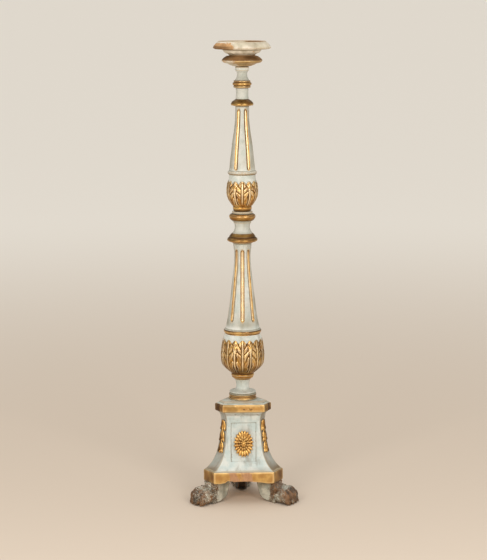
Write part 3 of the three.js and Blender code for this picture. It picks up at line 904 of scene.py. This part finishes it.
def carve_leaves(bearing, radius, z, bulb, drift):
    """Cuts a bulb's leaves and ribs: gives the new radius, and where the carving covers it."""
    pitch = 360 / bulb["leaves"]
    off = off_centre(bearing, bulb["leaves"], bulb["first"])
    side = np.abs(off)
    across = np.radians(side) * radius
    rise = (z - bulb["low"]) / (bulb["high"] - bulb["low"])

    vein = (z - bulb["low"] - bulb["slope"] * across) / bulb["vein"] + 0.28 * drift
    lobe = np.cos(math.tau * vein)
    width = np.interp(rise, bulb["leaf_rise"], bulb["leaf_half"]) * (1 + 0.10 * lobe)
    share = side / np.maximum(width, 0.3)
    blade = step_up(1.0, 0.86, share)
    midrib = np.exp(-(across / 1.7) ** 2)
    beside = np.exp(-((across - 3.6) / 1.3) ** 2)
    groove = np.clip(0.5 - 0.5 * lobe, 0, 1) ** 3
    groove = groove * step_up(2.6, 4.6, across) * step_up(0.16, 0.5, rise)
    leaf = blade * (0.80 - 0.22 * share**2 - 0.42 * groove + 0.22 * midrib - 0.24 * beside)

    rib_side = pitch / 2 - side
    rib_half = np.interp(rise, bulb["rib_rise"], bulb["rib_half"])
    rib_share = rib_side / np.maximum(rib_half, 0.2)
    head = step_up(0.66, 0.82, rise)
    rib_vein = (z - 0.8 * rib_side * radius * 0.0175) / (bulb["vein"] * 0.62)
    notch = np.clip(0.5 - 0.5 * np.cos(math.tau * rib_vein), 0, 1) ** 2
    notch = 0.3 * head * notch * step_up(0.15, 0.4, rib_share)
    rib = step_up(1.0, 0.75, rib_share) * (0.92 - 0.25 * rib_share**2 - notch)

    standing = np.clip(np.maximum(leaf, rib), 0, 1)
    dip = bulb["dip"] * (1 - np.abs(np.cos(math.pi * off / (pitch * 0.533))) ** 1.2)
    edge = bulb["high"] - dip
    covered = step_up(edge + 0.8, edge - 0.8, z) * (z >= bulb["low"])
    depth = bulb["depth"] * step_up(0.0, 0.16, rise) * (1 - 0.4 * step_up(edge - 14, edge, z))
    thin = 1 - 0.45 * step_up(edge - 9, edge, z)
    band = np.interp(z, bulb["band_z"], bulb["band_radius"])
    in_bulb = (z >= bulb["low"]) & (z <= bulb["band_z"][-1])
    carved = radius - depth * (1 - standing)
    ledge = np.where(z > bulb["band_z"][0], radius, np.minimum(band, radius))
    return np.where(in_bulb, ledge + (carved - ledge) * covered * thin, radius), covered


def cut_flutes(bearing, radius, z, flutes):
    """Cuts round-ended flutes up a stem: gives the new radius, and how far inside one a point is."""
    off = off_centre(bearing, flutes["count"], flutes["first"])
    half = flutes["half"]
    past = np.maximum(np.maximum(flutes["low"] + half - z, z - flutes["high"] + half), 0)
    away = np.hypot(np.radians(off) * radius, past)
    depth = flutes["depth"]
    sweep = (half**2 + depth**2) / (2 * depth)
    sink = np.sqrt(np.maximum(sweep**2 - away**2, 0)) - (sweep - depth)
    return radius - np.maximum(sink, 0), half - away


def flute_painted_shade(bearing, radius, in_flute, flutes):
    """Dark marks in the flutes: painted shade on the wall turned from the front, and a thinner dark line
    along the other edge. Also gives 1 away from that wall, where the floor gets a painted highlight.
    """
    off = off_centre(bearing, flutes["count"], flutes["first"])
    facing = bearing - off
    beside = (np.abs(facing) > 10) & (np.abs(facing) < 170)
    turned_away = -np.radians(off) * radius * np.sign(facing) * beside
    wall = step_up(0.6, 2.4, turned_away) * step_up(-0.2, 0.2, in_flute)
    edge = np.exp(-((in_flute - 0.3) / 0.8) ** 2)
    return np.maximum(0.8 * wall, 0.55 * edge), 1 - wall


shaft_finish = old_finish(
    "shaft_finish",
    {"Light": (160, 118, 78), "Dark": (104, 70, 44)},
    {
        "Wear": 0.6, "Light": (218, 219, 212), "Cool": (196, 203, 196),
        "Dirt_and_Shade": (138, 130, 106), "Under": (188, 160, 118),
    },
    {"Leaf": (226, 180, 100), "Tone": (182, 128, 58), "Deep": (70, 44, 18), "Glint": (255, 240, 204)},
    bump=0.28,
    ragged=0.45,
)


def by_height(z, table):
    """Values for heights, from a table of (height, value) pairs."""
    return np.interp(z, *zip(*table))


def by_step(z, ends):
    """1 between two ends, each of which fades in from its first height to its second."""
    (foot, foot_full), (top, top_full) = ends
    return step_up(foot, foot_full, z) * step_up(top, top_full, z)


def carve_half(half):
    """Turns half of the shaft, cuts its bulb and flutes with a hand's unevenness, and marks it."""
    seed = half["seed"]
    mesh = turn(half["edge"], half["steps"])
    points = points_of(mesh)
    bearing, radius, z = round_the_axis(points)
    drift = waver(points, half["drift"], seed + 5)
    radius, covered = carve_leaves(bearing, radius, z, half["bulb"], drift)
    radius, in_flute = cut_flutes(bearing, radius, z, half["flutes"])
    # Painted shade on the flute wall turned from the front; the rest of each flute floor gets a painted
    # highlight.
    flute_shade, highlighted = flute_painted_shade(bearing, radius, in_flute, half["flutes"])
    radius += waver(points, half["sway"], seed + 2) * half["amount"] - half["trim"]
    radius += waver(points, half["tool"], seed + 1) * 0.25 * covered
    set_radius(points, bearing, np.maximum(radius, 0))
    move_points(mesh, points)
    mark_relief(mesh, 7, half["relief"], step_up(1.3, 3.0, in_flute) * highlighted)

    low, high = half["leaf_gold"]
    gold = np.where((z > low) & (z < high), covered, by_height(z, half["gold"]))
    size, start, amount = half["blotches"]
    blotches = amount * step_up(start, 0.8, waver(points, size, seed + 4))
    outside = in_flute < 0
    if half["clean_flutes"]:
        blotches = blotches * outside
    stem = by_step(z, half["stem"])
    # Stem stains: dirt all over, painted shade towards the sides turned from the front, and darker
    # towards the foot of the lower stem.
    all_over, shade_at_sides, sides = half["stem_dirt_and_shade"]
    stains = all_over + shade_at_sides * step_up(*sides, np.abs(bearing)) + 0.35 * step_up(520, 460, z)
    # Leaf dirt and blotches, darker towards the foot of the lower bulb, and painted shade on the leaves
    # turned from the front.
    leaf_dirt_and_shade = half["leaf_dirt_and_shade"] + half["leaf_blotches"] * waver(points, 14, seed + 6)
    leaf_dirt_and_shade += 0.38 * step_up(376, 345, z) + 0.3 * step_up(35, 75, np.abs(bearing))
    leaf_dirt_and_shade *= covered * (z > half["bulb"]["low"])
    stains = np.maximum(stains * stem * outside + blotches, leaf_dirt_and_shade) * step_up(1125, 1120, z)
    dark = by_height(z, half["darkening"]) * outside
    mark(
        mesh,
        gilt=np.maximum(gold, np.clip(0.5 + in_flute / 1.4, 0, 1)),
        paint=half["paint"] + 0.15 * waver(points, half["worn"], seed + 3),
        soil_and_shade=np.maximum.reduce((dark, stains, flute_shade * stem)),
    )
    return mesh


LOWER_BULB = {
    "leaves": 8, "first": 0, "low": 336, "high": 430, "depth": 4.2, "dip": 9, "vein": 20.5, "slope": 1.05,
    "leaf_rise": (0, 0.12, 0.3, 0.6, 0.82, 0.93, 1.0), "leaf_half": (13, 17, 18.6, 19.2, 15.5, 9.5, 2),
    "rib_rise": (0, 0.6, 0.76, 0.87, 0.96, 1.0), "rib_half": (2.6, 2.6, 7, 9.5, 6, 2),
    "band_z": (431, 445), "band_radius": (50.4, 46.0),
}
LOWER_FLUTES = {"count": 8, "first": 0, "low": 476, "high": 663, "half": 5.2, "depth": 3.4}
LOWER_FOOT, LOWER_TOP = (corner.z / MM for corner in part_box("lower_shaft"))
LOWER_EDGE = (
    (0, LOWER_FOOT), 6, (35.3, LOWER_FOOT),
    1.25, (37.4, LOWER_FOOT + 2.3), (34.8, 274), (33, 275), (36.2, 33, 282.8), (32.6, 283.6),
    (35, 27, 289.4), (18, 290.5, 17.2, 299), (16.4, 320, 27.6, 324.8), (30.2, 331), (29.2, 336.5),
    0.95, ((336, 343, 349, 357, 378, 400, 430), (29, 38, 45.5, 52.4, 57.2, 56.4, 51.6)), (50.4, 431),
    1.3, (45.2, 444), (49.4, 45, 454.5),
    2.3, ((454.5, 476, 529, 582, 610, 645, 679), (44.9, 40.5, 33.3, 27.1, 23.8, 21.7, 24.1)),
    1.3, (32, 683), (43.3, 685, 38.4, 692), (36, 694.2), (34.6, 695.6), (34.4, 697.4), (30.3, 703),
    (24.7, 707.5), (16.5, 719, 21.5, 731), (23.5, 733.5), (23, 736), (33.5, 740, 34.4, 749.5),
    (34, 755, 27, 756.6), (25.6, 757.4), (26.8, 758.6), (26.8, LOWER_TOP), 6, (0, LOWER_TOP),
)
LOWER_GOLD = (
    (280, 1), (282, 0), (319, 0), (321, 1), (339, 1), (440, 0), (443.4, 1), (452.6, 1), (453.6, 0),
    (679, 0), (682, 1), (704, 1), (707, 0), (738, 0), (740, 1), (756, 1), (757.5, 0),
)
# Darker bands at the listed heights, mostly on the rings and beads.
LOWER_DARKENING = (
    (267, 0.4), (274, 0.3), (276, 0.1), (278, 0.05), (280, 0.85), (284, 0.9), (286, 0.3), (292, 0.5),
    (298, 0), (340, 0.3), (342, 0), (449.4, 0), (451, 0.8), (453, 0.8), (456, 0), (679, 0.2),
    (684, 0.1), (690, 0.55), (694, 0.8), (696, 0.98), (698, 0.75), (706, 0.6), (712, 0.3), (732, 0.2),
    (739, 0.6), (741, 0.6), (749, 0.15), (755, 0.5), (756.6, 0.95), (758, 0.9), (760, 0.1),
)


LOWER_HALF = {
    "edge": LOWER_EDGE, "bulb": LOWER_BULB, "flutes": LOWER_FLUTES, "steps": 236, "seed": 110,
    "drift": 26, "sway": 20, "amount": 0.2, "trim": 0.25, "tool": 6, "relief": 0.55,
    "gold": LOWER_GOLD, "leaf_gold": (339, 440), "paint": 0.88, "worn": 24,
    "darkening": LOWER_DARKENING, "stem": ((456, 470), (682, 676)), "stem_dirt_and_shade": (0.12, 0.3, (48, 75)),
    "blotches": (34, 0.0, 0.25), "clean_flutes": True, "leaf_dirt_and_shade": 0.08, "leaf_blotches": 0.2,
}
lower_mesh = carve_half(LOWER_HALF)
finish_piece(lower_mesh, "lower_half_shaft", SHAFT_TURN, shaft_finish, "lower_shaft")

# ---------------------------------------------------------------- upper shaft
# The upper half, turned and carved in the same way: a smaller bulb of six leaves, a stem with six
# flutes, a collar over them and three small rings below the neck.

UPPER_BULB = {
    "leaves": 6, "first": 0, "low": 775, "high": 843, "depth": 3.8, "dip": 9, "vein": 18, "slope": 1.0,
    "leaf_rise": (0, 0.15, 0.35, 0.65, 0.84, 0.94, 1.0), "leaf_half": (17, 23, 25, 25, 21, 14, 4),
    "rib_rise": (0, 0.55, 0.72, 0.85, 0.96, 1.0), "rib_half": (3.4, 3.4, 8, 12, 8, 3),
    "band_z": (844, 858), "band_radius": (35.0, 33.5),
}
UPPER_FLUTES = {"count": 6, "first": 30, "low": 871, "high": 1027, "half": 5.0, "depth": 3.2}
UPPER_FOOT, UPPER_TOP = (corner.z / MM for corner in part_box("upper_shaft"))
UPPER_EDGE = (
    (0, UPPER_FOOT), 6, (21.3, UPPER_FOOT), 1.2, (25.8, 768, 24, 775),
    0.9, ((775, 783, 791, 799, 814, 830, 843), (24, 30.4, 35.8, 39.4, 41.7, 40.5, 37.9)), (35, 844),
    1.2, (34.2, 858.5), (37.7, 34.4, 867.5),
    2.2, ((867.5, 895, 934, 972, 998, 1020, 1034), (34.4, 31.5, 27.1, 21.9, 19.2, 18.4, 17.6)),
    1.1, (28, 1036), (32, 1040, 24.4, 1047), (17, 1052), (15.9, 1066), (16.7, 1080.5),
    0.9, (21, 1081), (22.4, 21.2, 1086), (20.9, 1086.7), (24.8, 20.9, 1095), (22, 20.4, 1099.6),
    1.1, (17.9, 1101), (11, 1112, 14.1, 1121), (18, 1126), (18.1, UPPER_TOP), 6, (0, UPPER_TOP),
)
UPPER_GOLD = (
    (776, 1), (850, 0), (858, 0), (859, 0.55), (861.5, 0.55), (862.5, 0), (1033, 0), (1035, 1),
    (1051, 1), (1053, 0), (1079, 0), (1081, 1), (1099, 1), (1101, 0),
)
# Darker bands at the listed heights, mostly on the rings and beads.
UPPER_DARKENING = (
    (762, 0.9), (768, 0.7), (770, 0), (858, 0), (860, 0.6), (868, 0), (1037, 0.15), (1044, 0.8),
    (1052, 0.8), (1054, 0.3), (1079, 0.3), (1081, 0.4), (1086, 0.4), (1087, 0.95), (1088, 0.2),
    (1094, 0.2), (1095, 0.95), (1096, 0.3), (1100, 0.5), (1124, 0.2), (1126, 0),
)


UPPER_HALF = {
    "edge": UPPER_EDGE, "bulb": UPPER_BULB, "flutes": UPPER_FLUTES, "steps": 232, "seed": 120,
    "drift": 22, "sway": 18, "amount": 0.18, "trim": 0.2, "tool": 5, "relief": 0.4,
    "gold": UPPER_GOLD, "leaf_gold": (776, 850), "paint": 0.86, "worn": 22,
    "darkening": UPPER_DARKENING, "stem": ((866, 880), (1034, 1020)), "stem_dirt_and_shade": (0.25, 0.35, (32, 60)),
    "blotches": (30, 0.1, 0.2), "clean_flutes": False, "leaf_dirt_and_shade": 0, "leaf_blotches": 0,
}
upper_mesh = carve_half(UPPER_HALF)
finish_piece(upper_mesh, "upper_half_shaft", SHAFT_TURN, shaft_finish, "upper_shaft")

# ---------------------------------------------------------------- saucer
# A turned collar between the shaft and the pan: a flaring underside to a thin edge, then a slope
# back in to the pan's foot, darkened with painted shade where it lies under the pan.

pan_wood = old_finish(
    "pan_wood",
    {"Light": (214, 170, 118), "Dark": (180, 130, 76), "Grime_and_Shade": (94, 62, 24)},
    {
        "Wear": 0.9, "Light": (224, 214, 196), "Cool": (206, 196, 172),
        "Dirt_and_Shade": (134, 118, 86), "Under": (184, 142, 96),
    },
    {"Leaf": (220, 190, 134), "Tone": (196, 158, 102), "Deep": (84, 60, 30), "Glint": (236, 208, 154)},
    bump=0.45,
    ragged=1.3,
    flake=7,
)


SAUCER_FOOT, SAUCER_TOP = (corner.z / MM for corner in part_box("saucer"))
SAUCER_EDGE = (
    (0, SAUCER_FOOT), 5, (16.6, SAUCER_FOOT), 1.1, (16.8, SAUCER_FOOT + 1.3), (19.4, SAUCER_FOOT + 1.7),
    (28, 1137, 37, 1142.6), (50.3, 1144.5, 52.5, 1150), (51.8, 1155, 40.2, SAUCER_TOP - 1.2),
    (34.8, SAUCER_TOP), 6, (0, SAUCER_TOP),
)


def carve_saucer():
    mesh = turn(SAUCER_EDGE, 176)
    points = points_of(mesh)
    bearing, radius, z = round_the_axis(points)
    nicks = np.minimum(0, waver(points, 8, 131) + 0.5) * 0.8 * step_up(46, 51, radius)
    radius += nicks + waver(points, 20, 132) * 0.2 - 0.2
    set_radius(points, bearing, np.maximum(radius, 0))
    move_points(mesh, points)
    mark_relief(mesh, 5, 0.45)
    slope = step_up(1150.5, 1152, z)
    under = 1 - slope
    gold = step_up(-50, 10, bearing) * step_up(100, 40, bearing)
    paint_left = under * (0.75 - 0.35 * gold) + 0.25 * waver(points, 14, 133)
    # Painted shade on the slope under the pan, made patchy, and a dark joint line with painted shade
    # under the overhang at the foot.
    patchy = 0.5 + 0.5 * waver(points, 20, 134)
    joint_and_shade = step_up(1137.5, 1135.5, z)
    soil_and_shade = np.maximum(0.15 + (0.45 + 0.5 * patchy) * slope, 0.85 * joint_and_shade)
    mark(mesh, gilt=under * (0.3 + 0.4 * gold), paint=paint_left, soil_and_shade=soil_and_shade)
    return mesh


finish_piece(carve_saucer(), "turned_saucer", SHAFT_TURN, pan_wood, "saucer")

# ---------------------------------------------------------------- drip pan
# The dished pan that caught the wax, turned in one piece on a short foot. Its spike has gone. A
# third of the rim has lost its paint down to the wood.


PAN_FOOT, PAN_TOP = pan_low.z / MM, pan_high.z / MM
PAN_FLOOR = 1189.0
PAN_EDGE = (
    (0, PAN_FOOT), 6, (32.5, PAN_FOOT), 1.15, (36, 1168, 43.2, 1169.4), (47.3, 1172, 49.8, 1178),
    (63.8, 1179.5), (73.4, 1180, 74.7, 1184), (73.2, 1190, 61, PAN_TOP - 0.8), (57.5, PAN_TOP - 1.6),
    (55, 1190, 47, PAN_FLOOR), 3, (0, PAN_FLOOR),
)


def turn_pan():
    mesh = turn(PAN_EDGE, 208)
    points = points_of(mesh)
    bearing, radius, z = round_the_axis(points)
    rim = step_up(57, 67, radius)
    nicks = np.minimum(0, waver(points, 10, 141) + 0.5) * 1.1 * step_up(66, 72, radius)
    warp = waver(points, 26, 142) * 0.3 * rim
    set_radius(points, bearing, np.maximum(radius - 0.25 + nicks + warp, 0))
    lift = waver(points, 34, 143) * 0.5 * rim
    points[:, 2] = z + lift - 0.5 * step_up(PAN_TOP - 6, PAN_TOP, z)
    move_points(mesh, points)
    mark_relief(mesh, 5, 0.5)
    bare = step_up(-4, -36, bearing) * step_up(-150, -120, bearing)
    bare = bare * step_up(1200, 1192, z) * step_up(54, 62, radius)
    inside = step_up(58.5, 57, radius) * step_up(1183, 1188, z)
    # Darker and bare on the inside of the rim towards the back right.
    far_inner_dark = step_up(70, 110, bearing) * step_up(182, 160, bearing)
    far_inner_dark = far_inner_dark * step_up(PAN_FLOOR + 0.4, PAN_FLOOR + 2.5, z)
    # Dark at the pan's joint with the saucer and along its waist under the rim, with painted shade under
    # these overhangs.
    waist = np.exp(-((z - 1178.5) / 1.8) ** 2) * (radius < 62)
    joint_and_shade = np.maximum(step_up(1168.5, 1165, z), waist)
    lip = step_up(1191, 1186, z) * bare
    stains = 0.35 * step_up(0.1, 0.8, waver(points, 22, 145))
    paint_left = 0.95 - 0.9 * np.maximum(bare, inside * far_inner_dark) + 0.12 * waver(points, 20, 144)
    soil_and_shade = np.maximum.reduce((inside * (0.25 + 0.65 * far_inner_dark), 0.8 * joint_and_shade, 0.8 * lip, stains))
    mark(mesh, gilt=0, paint=paint_left, soil_and_shade=soil_and_shade)
    return mesh


finish_piece(turn_pan(), "turned_drip_pan", SHAFT_TURN, pan_wood, "drip_pan")

# ---------------------------------------------------------------- floor, lights and camera
# A plain pale studio floor running back out of sight, two soft lights, and a long lens.

FLOOR_REACH = 400
LAMPS = {"left": (27, 33), "right": (-27, 35)}
LAMP = {"away": 3.0, "high": 1.68, "size": 1.1, "aim": 0.75}
CAMERA = {"away": 4.95, "high": 1.37, "down": 9.05, "lens": 123.7, "lean": 0.11, "pan": 0.049}
TURN = math.radians(2.5)


def stand_off(swing, away, high):
    """A place out from the shaft, swung round from the front."""
    return SHAFT_AXIS + Vector((-math.sin(swing) * away, -math.cos(swing) * away, high))


bm = bmesh.new()
bmesh.ops.create_circle(bm, cap_ends=True, radius=FLOOR_REACH, segments=96)
floor = add_object("studio_floor", to_mesh(bm, "floor"))
studio = bpy.data.materials.new("studio_floor")
floor.data.materials.append(studio)
studio.use_nodes = True
net = Net(studio.node_tree)
shader = net.tree.nodes["Principled BSDF"].inputs
place = net.add("TexCoord", {})["Object"]
distance = net.add("VectorMath", {0: place}, operation="LENGTH")["Value"]
colour = net.mix(net.ramp(distance, 0.4, 6.0), (210, 195, 178), (244, 238, 228))
net.feed(shader["Base Color"], colour)
net.feed(shader["Roughness"], 0.9)
net.feed(shader["Specular IOR Level"], 0.1)

# The room: bright overhead, darker lower down, and a warm grey band that meets the floor.
world = bpy.data.worlds.new("studio")
bpy.context.scene.world = world
world.use_nodes = True
net = Net(world.node_tree)
backing = net.tree.nodes["Background"].inputs
place = net.add("TexCoord", {})["Generated"]
up = net.add("SeparateXYZ", {0: place})["Z"]
overhead = net.mix(net.ramp(up, 0.2, 0.9), (84, 82, 79), (255, 253, 250))
skyline = net.ramp(up, 0.12, 0.24, 1.0, 0.0)
net.feed(backing["Color"], net.mix(skyline, overhead, (212, 206, 196)))
net.feed(backing["Strength"], 1.15)

for side, (swing, power) in LAMPS.items():
    light = bpy.data.lights.new(f"soft_light_{side}", "AREA")
    light.shape = "SQUARE"
    light.size = LAMP["size"]
    light.energy = power
    light.color = (1, 0.97, 0.93)
    lamp = add_object(f"soft_light_{side}", light)
    lamp.location = stand_off(TURN + math.radians(swing), LAMP["away"], LAMP["high"])
    aim = stand_off(0, 0, LAMP["aim"]) - lamp.location
    lamp.rotation_euler = aim.to_track_quat("-Z", "Y").to_euler()

lens = bpy.data.cameras.new("camera")
lens.lens = CAMERA["lens"]
lens.sensor_width = 36
camera = add_object("camera", lens)
camera.location = stand_off(TURN, CAMERA["away"], CAMERA["high"])
tilt, lean, pan = (math.radians(CAMERA[angle]) for angle in ("down", "lean", "pan"))
camera.rotation_euler = (math.pi / 2 - tilt, lean, -TURN - pan)
bpy.context.scene.camera = camera
bpy.context.scene.view_settings.view_transform = "Standard"
